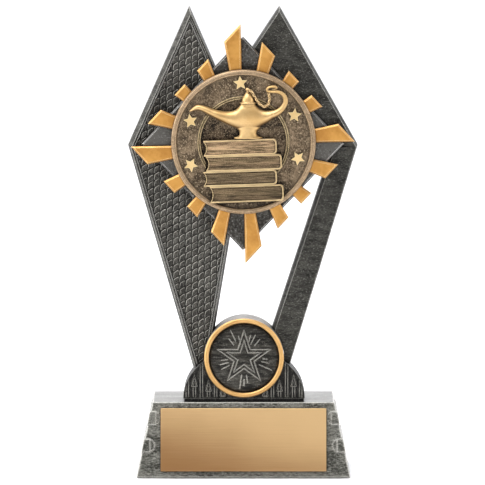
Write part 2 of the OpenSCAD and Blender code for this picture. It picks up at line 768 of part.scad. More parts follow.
// number 0 lies at the bottom of the stack; its back is on the disc
module book(k) {
    b = books[k];
    low = stack_top(k) + board_t;
    high = stack_top(k + 1) - board_t;
    front = disc_y - book_t;
    pages = [b[0] + b[3], b[1] - board_t];
    bow_r = (pow(high - low, 2) / 4 + hollow * hollow) / (2 * hollow);
    color("#8f7a52") in_stack() {
        difference() {
            between(disc_y, front) book_outline(k, 0);
            between(disc_y + over, front - over)
                polygon(bound(b[0] - over, pages[1], low, high, spine_round - board_t / 2));
        }
        difference() {
            between(disc_y, front + page_set)
                polygon(bound(pages[0], pages[1], low, high, spine_round - board_t / 2));
            disc(pages[0] + hollow - bow_r, (low + high) / 2, bow_r, disc_y + over, front - over);
            for (i = [1:leaves]) between(front + page_set + leaf_gap, front - over)
                translate([b[0], low + (high - low) * i / (leaves + 1) - leaf_gap / 2])
                    square([pages[1] - b[0] - board_t, leaf_gap]);
        }
    }
}

// ---- lamp ----

module at_lamp() {
    translate([lamp_x, lamp_back_y, lamp_z]) children();
}

module lamp_bowl() {
    body = smooth(lamp_body, 3);
    color("#e3b75c") at_lamp() {
        skin([for (p = body)
            half_round_x(p[0], p[1], p[2], min(lamp_t, 0.75 * (p[2] - p[1])))]);
        for (part = [lamp_foot, lamp_neck])
            skin([for (p = part) half_round_z(p[0], p[1], min(p[1], lamp_t - lamp_shallow))]);
        disc(0, peg_z, peg_r, floor_y + peg_l - lamp_back_y, -lamp_t / 2);
    }
}

module lamp_lid() {
    color("#dcaf58") at_lamp()
        skin([for (p = lamp_dome) half_round_z(p[0], p[1], min(p[1], lamp_t - lamp_shallow))]);
}

module lamp_finial() {
    top = lamp_dome[len(lamp_dome) - 1][0];
    color("#e9c673") at_lamp() translate([-finial_r / 2, -finial_r, top]) {
        translate([0, 0, finial_r]) sphere(r = finial_r, $fn = 32);
        cylinder(r = finial_r / 2, h = finial_r, $fn = 24);
    }
}

module lamp_handle() {
    color("#e3b75c") at_lamp() bent_bar(smooth(handle_path, 3), handle_path[0][2]);
}

module lamp_chain() {
    color("#e9c673") at_lamp()
        bent_bar(smooth([for (p = chain_path) [p[0], p[1], chain_r]], 3), 2 * chain_r);
}

// ---- stars ----

module relief_stars() {
    color("#f0d78c") for (s = sparks)
        translate([s[1] * sin(s[0]), 0, medal_z + s[1] * cos(s[0])])
            sloped_plate(star(spark_r, 0.47, s[2]), disc_y, disc_y - spark_t, 0.2, 0.3, star_faces);
}

// ---- fixings ----

module plate_dowels() {
    color("#b9bcc0") at_plate_dowels()
        disc(0, 0, dowel_d / 2, dowel_y[0] - fit, dowel_y[1] + fit);
}

module hub_dowels() {
    color("#b9bcc0") for (a = hub_dowel_angles) at_hub_dowel(a)
        translate([0, 0, hub_dowel_r[0] + fit])
            cylinder(d = hub_dowel_d, h = hub_dowel_r[1] - hub_dowel_r[0] - 2 * fit);
}

head_h = 2.6;
module assembly_screws() {
    color("#c9ccce") at_screws() difference() {
        union() {
            translate([0, 0, screw_seat_z - washer_t]) cylinder(d = screw_d - fit / 2, h = screw_l);
            translate([0, 0, screw_seat_z - washer_t - head_h])
                cylinder(d = 1.8 * screw_d, h = head_h);
        }
        translate([0, 0, screw_seat_z - washer_t - head_h - over])
            cylinder(d = 0.7 * screw_d, h = over + 0.55 * head_h, $fn = 6);
    }
}

module screw_washers() {
    color("#c9ccce") at_screws() translate([0, 0, screw_seat_z - washer_t]) difference() {
        cylinder(d = 2.25 * screw_d, h = washer_t);
        translate([0, 0, -over]) cylinder(d = screw_d + 0.3, h = washer_t + 2 * over);
    }
}

module threaded_inserts() {
    color("#c8a04a") at_screws() translate([0, 0, plinth_h - tenon_h]) difference() {
        cylinder(d = screw_d + 2 * insert_wall, h = insert_l);
        translate([0, 0, -over]) cylinder(d = screw_d, h = insert_l + 2 * over);
    }
}

plinth();
plinth_felt();
engraving_plate();
plate_tape();
ribbed_foot();
badge_cup();
badge_rim();
badge_insert();
badge_pad();
left_blade();
scale_panel();
right_blade();
diamond_plate();
sunburst();
medallion_disc();
medallion_rim();
inner_ring();
book(3);  // book_1
book(2);  // book_2
book(1);  // book_3
book(0);  // book_4
lamp_bowl();
lamp_lid();
lamp_finial();
lamp_handle();
lamp_chain();
relief_stars();
plate_dowels();
hub_dowels();
assembly_screws();
screw_washers();
threaded_inserts();
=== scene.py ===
"""Award for learning: plinth, ribbed foot with a star badge, two pointed blades, a gold
sunburst and a medallion with an oil lamp on four books. Metres, front towards -Y."""
import math
import random

import bmesh
import bpy
from mathutils import Matrix, Vector


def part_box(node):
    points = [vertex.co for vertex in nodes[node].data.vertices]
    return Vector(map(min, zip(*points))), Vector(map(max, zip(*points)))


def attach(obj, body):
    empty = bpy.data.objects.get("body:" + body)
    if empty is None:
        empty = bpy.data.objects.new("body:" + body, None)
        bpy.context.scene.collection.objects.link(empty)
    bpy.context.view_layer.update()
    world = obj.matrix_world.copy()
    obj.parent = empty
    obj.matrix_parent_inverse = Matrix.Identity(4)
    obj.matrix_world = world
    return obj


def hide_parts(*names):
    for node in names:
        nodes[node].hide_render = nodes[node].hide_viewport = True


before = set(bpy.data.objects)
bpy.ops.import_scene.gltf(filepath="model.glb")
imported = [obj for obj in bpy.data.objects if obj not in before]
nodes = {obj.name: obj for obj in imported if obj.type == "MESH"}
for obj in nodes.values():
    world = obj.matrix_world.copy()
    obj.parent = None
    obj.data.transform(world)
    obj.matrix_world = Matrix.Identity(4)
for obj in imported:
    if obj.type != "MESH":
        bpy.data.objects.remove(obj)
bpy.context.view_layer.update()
MM = 0.001


# ---- Studio ----
# A long lens looks slightly down on the award. It stands on a pale floor under one broad
# soft light from above, in a room that is white behind and beside it and dim in front.

TILT = math.radians(6.5)
DISTANCE = 1.9
FIELD = 181.6325 * MM
LOOK_AT = Vector((-0.37, -10.5, 87.8)) * MM

lens = bpy.data.cameras.new("lens")
lens.angle = 2 * math.atan(FIELD / 2 / DISTANCE)
lens.clip_end = 20
camera = bpy.data.objects.new("camera", lens)
camera.location = LOOK_AT + DISTANCE * Vector((0, -math.cos(TILT), math.sin(TILT)))
camera.rotation_euler = (math.pi / 2 - TILT, 0, 0)
bpy.context.scene.collection.objects.link(camera)
bpy.context.scene.camera = camera
bpy.context.scene.view_settings.view_transform = "Standard"


class Paint:
    """One socket of a finish. Arithmetic on it adds the nodes that work the sum out."""

    def __init__(self, tree, socket=None):
        self.tree = tree
        self.socket = socket

    def add(self, kind, settings=None, feeds=None, out=0):
        """Adds a node: its settings first, then the value or link of each input."""
        node = self.tree.nodes.new("ShaderNode" + kind)
        for name, value in (settings or {}).items():
            setattr(node, name, value)
        for name, value in (feeds or {}).items():
            if isinstance(value, Paint):
                self.tree.links.new(value.socket, node.inputs[name])
            else:
                node.inputs[name].default_value = value
        return Paint(self.tree, node.outputs[out])

    def sum(self, operation, first, second):
        return self.add("Math", {"operation": operation}, {0: first, 1: second})

    def __add__(self, other):
        return self.sum("ADD", self, other)

    def __sub__(self, other):
        return self.sum("SUBTRACT", self, other)

    def __rsub__(self, other):
        return self.sum("SUBTRACT", other, self)

    def __mul__(self, other):
        return self.sum("MULTIPLY", self, other)

    __radd__ = __add__
    __rmul__ = __mul__

    def ramp(self, low, high):
        """0 below `low`, 1 above `high` and a soft step between."""
        return self.add("MapRange", {"interpolation_type": "SMOOTHSTEP"},
                        {0: self, 1: low, 2: high})

    def tint(self, low, high):
        """The colour `low` where this is 0 and `high` where it is 1."""
        return self.add("Mix", {"data_type": "RGBA"}, {0: self, 6: low, 7: high}, out=2)


def tone(red, green, blue):
    """A paint-chart colour, 0 to 255, as the shader wants it."""
    return (*((c / 255) ** 2.2 for c in (red, green, blue)), 1.0)


def new_finish(name):
    """An empty material and the paint to start its sums from."""
    material = bpy.data.materials.new(name)
    material.use_nodes = True
    material.node_tree.nodes.clear()
    return material, Paint(material.node_tree)


def close_finish(material, feeds, height=None, depth=0.0, rounding=0.0):
    """Joins colour, roughness and relief to the shader; `rounding` softens sharp edges."""
    start = Paint(material.node_tree)
    if rounding:
        feeds["Normal"] = start.add("Bevel", {"samples": 4}, {"Radius": rounding})
    if height:
        bump = {"Height": height, "Distance": depth, "Strength": 1.0}
        if rounding:
            bump["Normal"] = feeds["Normal"]
        feeds["Normal"] = start.add("Bump", {}, bump)
    shader = start.add("BsdfPrincipled", {}, feeds)
    output = material.node_tree.nodes.new("ShaderNodeOutputMaterial")
    material.node_tree.links.new(shader.socket, output.inputs["Surface"])
    return material


def millimetres(start, stretch=(1, 1, 1)):
    """Where a point lies on the award, in millimetres, with each axis stretched."""
    return start.add("VectorMath", {"operation": "MULTIPLY"},
                     {0: start.add("TexCoord", out="Object"),
                      1: tuple(s / MM for s in stretch)})


def noise(start, scale, detail=4.0, rough=0.55, stretch=(1, 1, 1)):
    """Cloudy variation, about 0 to 1, with `scale` blotches to the millimetre."""
    return start.add("TexNoise", {}, {"Vector": millimetres(start, stretch),
                                      "Scale": scale, "Detail": detail, "Roughness": rough})


FLOOR_SIDE, FLOOR_MIDDLE = 14, (0, 2, 0)
floor_paint, start = new_finish("floor_paint")
patchy = noise(start, 0.004).ramp(0.2, 0.8)
close_finish(floor_paint, {
    "Base Color": patchy.tint(tone(244, 244, 244), tone(248, 248, 248)), "Roughness": 0.9})
bpy.ops.mesh.primitive_plane_add(size=FLOOR_SIDE, location=FLOOR_MIDDLE)
floor = bpy.context.object
floor.name = "floor"
floor.data.materials.append(floor_paint)


def soft_light(name, place, size, power):
    """A square soft box that looks at the medallion."""
    light = bpy.data.lights.new(name, "AREA")
    light.size, light.energy = size, power
    box = bpy.data.objects.new(name, light)
    box.location = place
    box.rotation_euler = (LOOK_AT - Vector(place)).to_track_quat("-Z", "Y").to_euler()
    bpy.context.scene.collection.objects.link(box)


soft_light("top_light", (-0.45, -0.3, 1.4), 1.0, 26)
soft_light("left_light", (-1.4, -0.1, 0.6), 0.8, 12)
soft_light("right_light", (1.4, -0.5, 0.7), 0.7, 6)

room = bpy.data.worlds.new("room")
room.use_nodes = True
bpy.context.scene.world = room
start = Paint(room.node_tree)
behind = start.add("SeparateXYZ", {}, {0: start.add("TexCoord", out="Generated")}, out="Y")
DIM_FRONT, WHITE_BACK = (0.3, 0.3, 0.3, 1), (1.5, 1.5, 1.54, 1)
sky = behind.ramp(-0.7, 0.15).tint(DIM_FRONT, WHITE_BACK)
room.node_tree.links.new(sky.socket, room.node_tree.nodes["Background"].inputs["Color"])


# ---- Plinth ----
# Weighted cast resin with two raised bands round each end. It is painted dark, wiped with
# silver, and rubbed bright on its edges. Felt underneath covers the screw holes.

def on_axis(start, axis):
    """Where a point lies along one axis of the award, in millimetres."""
    return start.add("SeparateXYZ", {}, {0: millimetres(start)}, out=axis)


def facing_up(start):
    """1 where the surface looks up, 0 where it is upright and -1 where it looks down."""
    return start.add("SeparateXYZ", {}, {0: start.add("NewGeometry", out="Normal")}, out="Z")


def open_air(start, reach, samples=5):
    """1 in the open and less in a corner, felt over `reach` millimetres."""
    return start.add("AmbientOcclusion", {"samples": samples}, {"Distance": reach * MM}, out="AO")


def sharpness(start, radius):
    """0 on a flat and more towards an edge, over `radius` millimetres."""
    softened = start.add("Bevel", {"samples": 4}, {"Radius": radius * MM})
    straight = start.add("NewGeometry", out="Normal")
    return 1 - start.add("VectorMath", {"operation": "DOT_PRODUCT"},
                         {0: softened, 1: straight}, out="Value")


def darker(colour, share):
    """The same colour with only `share` of its light."""
    return (*(c * share for c in colour[:3]), 1)


def antique(name, deep, body, rubbed, streaks=(1, 1, 1), contrast=1.0, wear=0.9, grain=0.02,
            brushed=0.3, marks=1.0, patches=0.3, crevice=0.6, rub=0.36, coat=0.0,
            wiped_top=0.0, painted_light_halo=None, painted_side_sheen=None):
    """Metallic paint over a dark ground, wiped back so that recesses stay dark and high
    spots shine.

    `streaks` stretches the wiping marks along the axes, `marks` and `patches` say how fine
    they are, and `contrast` how much they show. `wear` and `rub` are the strength and the
    breadth of rubbed edges, `crevice` the reach of the dark in a corner, `brushed` the
    dry-brushed specks and `grain` the depth of the surface. `wiped_top` evens out faces
    that look up. `painted_light_halo`, given as x, z and radius, paints light: the colour is
    paler above and outside that ring and darker towards the bottom. Further than
    `painted_side_sheen` from the middle, a painted sheen makes it paler. Lengths are in
    millimetres."""
    material, start = new_finish(name)
    cloud = noise(start, patches, 4.0, 0.6, streaks)
    fleck = noise(start, 1.2 * marks, 4.0, 0.7, streaks)
    speck = noise(start, 2.6, 2.0, 0.6)
    half = 0.15 / contrast
    shade = (cloud * 0.4 + fleck * 0.45 + speck * 0.15).ramp(0.5 - half, 0.5 + half)
    # Painted light: the ground is made paler above and outside the ring and darker towards the
    # bottom, as if lit from above.
    if painted_light_halo:
        x, z, radius = painted_light_halo
        away = start.add("VectorMath", {"operation": "DISTANCE"},
                         {0: millimetres(start, (1, 0, 1)), 1: (x, 0, z)}, out="Value")
        outside = away.ramp(radius - 0.5, radius + 0.5)
        above = on_axis(start, "Z").ramp(z - radius * 1.3, z - radius * 0.6)
        shade = shade * (0.45 + 0.25 * above) + 0.2 * above * outside
    # Painted sheen: the colour is made paler towards the left and right ends.
    if painted_side_sheen:
        place, fade = on_axis(start, "X"), 12
        painted_sheen = (place * place).ramp(painted_side_sheen ** 2, (painted_side_sheen + fade) ** 2)
        shade = shade + 0.9 * painted_sheen
    near_air, wide_air = open_air(start, crevice), open_air(start, 2.2)
    edge = sharpness(start, rub).ramp(0.003, 0.05) * near_air.ramp(0.6, 0.85)
    # This mesh attribute carries rubbed wear and, on the scales, a painted highlight on their
    # upper-left sides.
    ridge = start.add("Attribute", {"attribute_name": "wear_and_painted_glint"}, out="Fac")
    wear_and_painted_glint = (edge * wear + ridge).ramp(0.0, 1.0) * (0.7 + 0.3 * fleck.ramp(0.38, 0.6))
    dry = (speck * 0.5 + fleck * 0.5).ramp(0.54, 0.68) * brushed
    colour = dry.tint(shade.tint(deep, body), rubbed)
    top = facing_up(start).ramp(0.8, 0.98) * wiped_top
    colour = wear_and_painted_glint.tint(top.tint(colour, darker(body, 0.55)), rubbed)
    recess = 1 - near_air.ramp(0.35, 0.92) * wide_air.ramp(0.15, 0.8)
    colour = (recess * 0.9).tint(colour, darker(deep, 0.25))
    return close_finish(material, {
        "Base Color": colour, "Metallic": 0.7, "Coat Weight": coat, "Coat Roughness": 0.13,
        "Roughness": 0.42 + 0.2 * (1 - shade) - 0.08 * wear_and_painted_glint},
        height=fleck * 0.5 + speck * 0.5, depth=grain * MM, rounding=0.25 * MM)


def dress(node, material, soft=0.0):
    """Gives a CAD piece its finish and rounds its edges by `soft` millimetres."""
    slots, modifiers = nodes[node].data.materials, nodes[node].modifiers
    for i in range(len(slots)):
        slots[i] = material
    if soft:
        modifiers.new("one_skin", "WELD").merge_threshold = 0.001 * MM
        flats = modifiers.new("whole_flats", "DECIMATE")
        flats.decimate_type, flats.angle_limit = "DISSOLVE", math.radians(0.5)
        edges = modifiers.new("soft_edges", "BEVEL")
        edges.width, edges.segments = soft * MM, 3
        edges.limit_method, edges.angle_limit = "ANGLE", math.radians(25)


plinth_silver = antique("plinth_silver", tone(44, 44, 39), tone(142, 141, 133),
                        tone(224, 222, 214), streaks=(0.35, 1, 1.2), contrast=1.4, wear=1.2,
                        marks=1.7, patches=0.14, crevice=1.1, rub=0.85, coat=0.45,
                        wiped_top=0.85)
dress("plinth", plinth_silver, 0.12)

felt, start = new_finish("felt")
fibre = noise(start, 9.0, 3.0)
dress("plinth_felt", close_finish(felt, {
    "Base Color": fibre.tint(tone(22, 22, 24), tone(48, 48, 52)), "Roughness": 0.95,
    "Sheen Weight": 0.4}, height=fibre, depth=0.12 * MM))


# ---- Engraving plate ----
# Thin aluminium, brushed from side to side and anodised gold, cut with a bevelled edge.
# A double-sided adhesive sheet holds it to the plinth.

plate_metal, start = new_finish("plate_metal")
brushing = noise(start, 1.0, 5.0, 0.7, (0.05, 6, 6))
haze = noise(start, 0.03, 2.0)
# Painted light: the gold is made lighter towards the upper right and darker towards the lower
# left.
across = (on_axis(start, "X") * 0.4 + on_axis(start, "Z") * 1.8).ramp(-16, 62)
brushing_and_painted_light = (brushing * 0.2 + haze * 0.2 + across * 0.6).ramp(0.2, 0.8)
dress("engraving_plate", close_finish(plate_metal, {
    "Base Color": brushing_and_painted_light.tint(tone(164, 123, 82), tone(233, 195, 142)), "Metallic": 0.85,
    "Roughness": 0.36 + 0.12 * brushing},
    height=brushing, depth=0.005 * MM, rounding=0.15 * MM), 0.15)

adhesive, start = new_finish("adhesive")
weave = noise(start, 3.0, 2.0)
close_finish(adhesive, {"Base Color": weave.tint(tone(205, 200, 188), tone(232, 228, 218)),
                        "Roughness": 0.6}, height=weave, depth=0.02 * MM)
dress("plate_tape", adhesive)


# ---- Foot ----
# A cast dome in the same resin, darker than the plinth, with fine upright ribs and small
# spearheads on both sides of the badge. A tenon under it sits in the plinth, held by screws.

def skin(bm, rings, wear=None, capped=True):
    """A closed skin over rings of equal count, given in millimetres."""
    layer = bm.verts.layers.float.get("wear_and_painted_glint") or bm.verts.layers.float.new("wear_and_painted_glint")
    rows = []
    for k, ring in enumerate(rings):
        row = [bm.verts.new(Vector(p) * MM) for p in ring]
        level = wear[k] if wear else 0.0
        for i, vertex in enumerate(row):
            vertex[layer] = level[i] if isinstance(level, list) else level
        rows.append(row)
    for low, high in zip(rows, rows[1:]):
        for i in range(len(low)):
            j = (i + 1) % len(low)
            bm.faces.new((low[i], low[j], high[j], high[i]))
    if capped:
        bm.faces.new(rows[0][::-1])
        bm.faces.new(rows[-1])


def cast(name, bm, material, slot, *stands_for, angle=40):
    """Turns a finished mesh into a piece of the award."""
    bmesh.ops.recalc_face_normals(bm, faces=bm.faces)
    mesh = bpy.data.meshes.new(name)
    bm.to_mesh(mesh)
    bm.free()
    mesh.shade_smooth()
    mesh.set_sharp_from_angle(angle=math.radians(angle))
    mesh.materials.append(material)
    piece = bpy.data.objects.new(name, mesh)
    bpy.context.scene.collection.objects.link(piece)
    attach(piece, "root")
    if stands_for:
        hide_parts(*stands_for)
    return piece


def span(node):
    """The low and the high corner of a CAD piece, in millimetres."""
    return [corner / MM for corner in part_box(node)]


def ridge_bar(bm, x0, z0, x1, z1, width, rise, front, wear, root=0.3):
    """A half-round bar that lies on a front face and goes `root` into it, with thin ends."""
    along = Vector((x1 - x0, z1 - z0))
    side = Vector((-along.y, along.x)).normalized() * width / 2
    rings = []
    for t, size in ((0, 0.25), (0.04, 0.8), (0.5, 1), (0.96, 0.8), (1, 0.25)):
        ring = []
        for k in range(7):
            a = math.pi * k / 6
            offset = side * math.cos(a) * size
            ring.append((x0 + along.x * t + offset.x, front - rise * math.sin(a) * size,
                         z0 + along.y * t + offset.y))
        ring.append((ring[0][0] * 0.5 + ring[-1][0] * 0.5, front + root,
                     ring[0][2] * 0.5 + ring[-1][2] * 0.5))
        rings.append(ring)
    skin(bm, rings, [wear * 0.6, wear, wear, wear, wear * 0.6])


foot_silver = antique("foot_silver", tone(11, 11, 10), tone(34, 33, 30), tone(160, 158, 150),
                      streaks=(1.4, 1, 0.5), contrast=1.3, wear=0.6)
dress("ribbed_foot", foot_silver, 0.12)

STRIP_TOP, FOOT_RISE, FOOT_HALF = 29.3, 18.7, 22.8
RIB_PITCH, RIB_SPLIT, RIB_NUMBERS, RIB_START = 2.66, 0.17, range(3, 9), STRIP_TOP + 0.55
RIB_WIDTH, RIB_RISE, RIB_WEAR = 0.42, 0.48, 0.42
SPEAR_HEIGHT, SPEAR_FALL, HIGHEST_SPEAR = 37.0, 0.9, 7
HEAD_ABOVE, HEAD_BELOW, HEAD_HALF = 0.3, 3.2, RIB_PITCH * 0.42
HEAD_WIDTH, HEAD_RISE, HEAD_WEAR = 0.36, 0.5, 0.45
cup_low, cup_high = span("badge_cup")
cup_middle = (cup_low + cup_high) / 2
foot_front = cup_low.y - 0.2
cup_reach = (cup_high.x - cup_low.x) / 2 + 0.35

bm = bmesh.new()
for side in (-1, 1):
    for number in RIB_NUMBERS:
        centre = cup_middle.x + side * number * RIB_PITCH
        spear = SPEAR_HEIGHT - SPEAR_FALL * abs(number - HIGHEST_SPEAR)
        for s in (-1, 1):
            x = centre + s * RIB_PITCH * RIB_SPLIT
            reach = 1 - ((abs(x - cup_middle.x) + 0.3) / (FOOT_HALF - 0.4)) ** 2
            if reach <= 0.02:
                continue
            top = STRIP_TOP + (FOOT_RISE - 0.5) * math.sqrt(reach)
            if number % 2:
                top = min(top, spear - HEAD_BELOW + 0.5)
            beside_cup = cup_reach ** 2 - (x - cup_middle.x) ** 2
            if beside_cup > 0:
                top = min(top, cup_middle.z - math.sqrt(beside_cup))
            ridge_bar(bm, x, RIB_START, x, top, RIB_WIDTH, RIB_RISE, foot_front, RIB_WEAR)
        edge = 1 - (number * RIB_PITCH / FOOT_HALF) ** 2
        if number % 2 and STRIP_TOP + FOOT_RISE * math.sqrt(max(edge, 0)) > spear + 1:
            tip = (centre, spear + HEAD_ABOVE)
            barbs = [(centre + s * HEAD_HALF, spear - HEAD_BELOW) for s in (-1, 1)]
            for a, b in ((tip, barbs[0]), (tip, barbs[1]), barbs):
                ridge_bar(bm, *a, *b, HEAD_WIDTH, HEAD_RISE, foot_front, HEAD_WEAR)
cast("foot_ribs", bm, foot_silver, "foot_silver")


# ---- Badge ----
# A cast cup carries a gold rim. A stamped pewter insert with an outlined star sits inside
# the rim on a glue pad.

def gold(name, low, high, rubbed, rough=0.38, fleck_size=1.5, under=0.5, crisp=0.3):
    """Gold paint over a brown ground, which stays in the corners, and with painted shade in brown
    on faces that look down.
    """
    material, start = new_finish(name)
    drift = noise(start, 0.12, 2.0)
    fleck = noise(start, fleck_size, 3.0)
    air = open_air(start, 0.9, samples=6)
    edge = sharpness(start, crisp).ramp(0.005, 0.07) * air.ramp(0.45, 0.7)
    # Painted shade: faces that look down are tinted towards brown by `under`, as if in shadow.
    down = (0.0 - facing_up(start)).ramp(0.05, 0.85)
    brown = (low[0] * 0.2, low[1] * 0.16, low[2] * 0.14, 1)
    colour = (drift * 0.7 + fleck * 0.3).ramp(0.35, 0.65).tint(low, high)
    colour = (down * under).tint((edge * 0.85).tint(colour, rubbed), brown)
    recess = (1 - air.ramp(0.2, 0.8)) * 0.9
    return close_finish(material, {"Base Color": recess.tint(colour, brown), "Metallic": 0.8,
                                   "Roughness": rough + 0.12 * fleck},
                        height=fleck, depth=0.01 * MM, rounding=0.2 * MM)


def inset(outline, trims):
    """An anticlockwise outline with each side moved inwards by its own trim."""
    count = len(outline)
    trims = trims if isinstance(trims, (list, tuple)) else [trims] * count
    moved = []
    for i in range(count):
        here = outline[i]
        u = (here - outline[i - 1]).normalized()
        v = (outline[(i + 1) % count] - here).normalized()
        p = here + trims[i - 1] * Vector((-u.y, u.x))
        q = here + trims[i] * Vector((-v.y, v.x))
        cross = u.x * v.y - u.y * v.x
        along = ((q - p).x * v.y - (q - p).y * v.x) / cross if abs(cross) > 1e-6 else 0
        moved.append(p + along * u)
    return moved


cup_silver = antique("cup_silver", tone(120, 117, 112), tone(172, 168, 163),
                     tone(204, 200, 196), contrast=0.7)
dress("badge_cup", cup_silver, 0.2)
cup_gold = gold("cup_gold", tone(180, 138, 84), tone(200, 158, 100), tone(224, 190, 136))
dress("badge_rim", cup_gold)
dress("badge_pad", adhesive)
badge_pewter = antique("badge_pewter", tone(22, 21, 19), tone(70, 68, 63), tone(190, 187, 178),
                       streaks=(0.35, 1, 1.6), contrast=1.5, marks=0.8)

STAR_RADIUS, STAR_WAIST, STAR_SIZES = 10.6, 0.382, (1.0, 0.64)
# Trim and lift of each ring round a raised outline
STAR_LINE = ((-0.05, -0.05), (0.04, 0.28), (0.08, 0.34), (0.13, 0.28), (0.23, -0.05))
STAR_WEAR = (0.1, 0.9, 0.9, 0.9, 0.1, 0.1)
SPARK_WIDTH, SPARK_RISE, SPARK_WEAR = 0.14, 0.12, 0.28
ROUND_STEPS = 96
# Angle upwards from the right, inner end and outer end
SPARKS = ((104, 5.3, 8.6), (116, 7.0, 11.6), (128, 6.2, 9.2), (74, 6.2, 9.0), (64, 5.6, 9.8),
          (50, 6.0, 9.3), (196, 6.0, 9.4), (207, 6.2, 9.6), (186, 6.2, 8.6), (-24, 6.0, 11.4),
          (-12, 6.6, 9.6), (-3, 7.0, 8.8), (262, 6.4, 11.8), (278, 6.4, 9.4), (270, 8, 10.6))
insert_low, insert_high = span("badge_insert")
centre = Vector(((insert_low.x + insert_high.x) / 2, (insert_low.z + insert_high.z) / 2))
insert_radius = (insert_high.x - insert_low.x) / 2
insert_face = insert_low.y + 0.4
profile = ((0, insert_high.y), (0, insert_face + 0.5), (0.2, insert_face + 0.3),
           (1.2, insert_face + 0.1), (1.5, insert_face))

bm = bmesh.new()
way_round = [math.tau * k / ROUND_STEPS for k in range(ROUND_STEPS)]
skin(bm, [[(centre.x + (insert_radius - trim) * math.cos(a), y,
            centre.y + (insert_radius - trim) * math.sin(a)) for a in way_round]
          for trim, y in profile])
for size in STAR_SIZES:
    points = [centre + size * STAR_RADIUS * (1 if k % 2 == 0 else STAR_WAIST)
              * Vector((-math.sin(math.pi * k / 5), math.cos(math.pi * k / 5)))
              for k in range(10)]
    rings = [[(p.x, insert_face - lift, p.y) for p in inset(points, trim)]
             for trim, lift in STAR_LINE]
    skin(bm, rings + [rings[0]], STAR_WEAR, capped=False)
for angle, near, far in SPARKS:
    way = Vector((math.cos(math.radians(angle)), math.sin(math.radians(angle))))
    a, b = centre + near * way, centre + far * way
    ridge_bar(bm, *a, *b, SPARK_WIDTH, SPARK_RISE, insert_face, SPARK_WEAR)
bmesh.ops.remove_doubles(bm, verts=bm.verts, dist=1e-7)
cast("star_insert", bm, badge_pewter, "badge_pewter", "badge_insert")


# ---- Blades ----
# Two cast blades lean together on flat backs. The left one has a border with a fine bead
# round a sunk field of small slanted scales, and the right one is smooth.

def rounded(corners, trim, radius, steps=3):
    """A convex outline moved inwards by `trim`, with round corners."""
    centres = inset(corners, trim + radius)
    path = []
    for i, centre in enumerate(centres):
        u = corners[i] - corners[i - 1]
        v = corners[(i + 1) % len(corners)] - corners[i]
        first = math.atan2(-u.x, u.y)
        turn = math.atan2(u.x * v.y - u.y * v.x, u.dot(v))
        for k in range(steps + 1):
            angle = first + turn * k / steps
            path.append(centre + radius * Vector((math.cos(angle), math.sin(angle))))
    return path


def hidden(point):
    """Whether a scale would lie wholly under the diamond or inside the badge cup."""
    middle = (diamond_low + diamond_high) / 2
    half = (diamond_high - diamond_low) / 2
    under = abs(point.x - middle.x) / half.x + abs(point.y - middle.z) / half.z
    beside_cup = math.hypot(point.x - cup_middle.x, point.y - cup_middle.z)
    return under < DIAMOND_COVER or beside_cup < CUP_COVER


def cut_off(bm, point, outward):
    """Cuts away what lies outwards of a point in the front view and closes the cut."""
    cut = bmesh.ops.bisect_plane(bm, geom=bm.verts[:] + bm.edges[:] + bm.faces[:],
                                 dist=1e-7, plane_co=Vector((point.x, 0, point.y)) * MM,
                                 plane_no=(outward.x, 0, outward.y), clear_outer=True)
    rim = [e for e in cut["geom_cut"] if isinstance(e, bmesh.types.BMEdge)]
    bmesh.ops.edgeloop_fill(bm, edges=rim)


blade_silver = antique("blade_silver", tone(30, 29, 27), tone(72, 71, 66), tone(186, 184, 178),
                       streaks=(0.5, 1, 1.6), contrast=1.1, marks=1.5)
dress("left_blade", blade_silver, 0.1)
dress("right_blade", blade_silver, 0.1)
scale_silver = antique("scale_silver", tone(34, 33, 31), tone(82, 80, 75), tone(190, 187, 178),
                       brushed=0.15, wear=0.0)

LEFT_BLADE = [Vector(p) for p in ((-20.3, 176), (-43.2, 124.2), (-15.3, 28), (1.2, 126.7))]
FIELD_TRIMS = [2.75, 2.15, 2.15, 2.15]
FIELD_FOOT, GROUND = 34.2, 0.3
DIAMOND_COVER, CUP_COVER = 0.92, 13.2
SCALE = [Vector(p) for p in ((1.38, 2.1), (-0.84, 0.64), (-1.38, -2.1), (0.84, -0.64))]
SCALE_START = Vector((0.6, 100.3))
SCALE_STEP, SCALE_DROP = Vector((2.36, 1.09)), Vector((0, -2.52))
# Trim, corner radius, rise and polish of each ring of a scale, from its foot inwards
SCALE_RINGS = ((0.05, 0.34, -0.1, 0), (0.06, 0.34, 0.15, 0), (0.14, 0.3, 0.36, 1),
               (0.25, 0.24, 0.4, 1), (0.36, 0.18, 0.3, 0.1), (0.5, 0.1, 0.3, 0.15))
field = inset(LEFT_BLADE, FIELD_TRIMS)
field_back = span("scale_panel")[1].y
diamond_low, diamond_high = span("diamond_plate")

dice = random.Random(7)
bm = bmesh.new()
for column in range(-20, 4):
    for row in range(-60, 60):
        place = column * SCALE_STEP + row * SCALE_DROP + SCALE_START
        if not (-44 < place.x < 3 and 30 < place.y < 178) or hidden(place):
            continue
        lift = dice.uniform(-0.04, 0.04)
        shine = dice.uniform(0.6, 1.0)
        rings, polish_and_painted_glint = [], []
        for trim, radius, rise, polish in SCALE_RINGS:
            ring = rounded(SCALE, trim, radius)
            # Painted highlight: the polish is made brighter along each scale's upper-left side
            # and dimmer towards its lower right.
            polish_and_painted_glint.append([polish * shine * max(0.3, min(1.0, 0.5 + 0.6 * (p.y - 1.4 * p.x)))
                          for p in ring])
            rings.append([(place.x + p.x, field_back - GROUND - rise
                           - (lift + 0.12 * (p.y - p.x) if rise > 0 else 0), place.y + p.y)
                          for p in ring])
        skin(bm, rings, polish_and_painted_glint)
for a, b in zip(field, field[1:] + field[:1]):
    cut_off(bm, a, Vector((b.y - a.y, a.x - b.x)).normalized())
